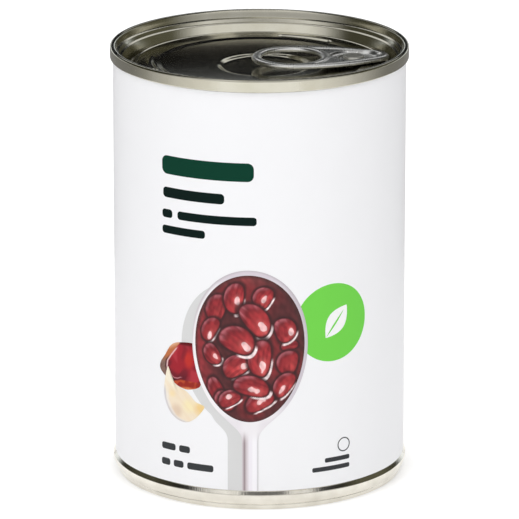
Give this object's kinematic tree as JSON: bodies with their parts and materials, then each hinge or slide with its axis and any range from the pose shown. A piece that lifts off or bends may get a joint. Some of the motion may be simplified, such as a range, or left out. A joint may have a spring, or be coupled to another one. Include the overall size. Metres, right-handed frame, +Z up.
{
  "type": "canned beans",
  "caption": "Sealed steel food can with an easy-open ring-pull end, a paper wrap label and a stand-ring base, full of beans in sauce.",
  "frame": {"origin": "centre of the can's base, on the plane that its foot ring stands on", "axes": "+Z up the can, -Y out of the front of the label, +X towards the right of the label, close to the ring pull's nose"},
  "size_m": [0.0762, 0.0762, 0.1127],
  "materials": {
    "tinplate": "bright tinplate with a fine grain",
    "end_steel": "glossy lacquered tinplate",
    "pull_steel": "bright rolled steel",
    "label_paper": "smooth coated paper"
  },
  "bodies": {
    "root": {"can_body": "tinplate", "lid": "end_steel", "tab": "pull_steel", "label": "label_paper"}
  },
  "joints": []
}
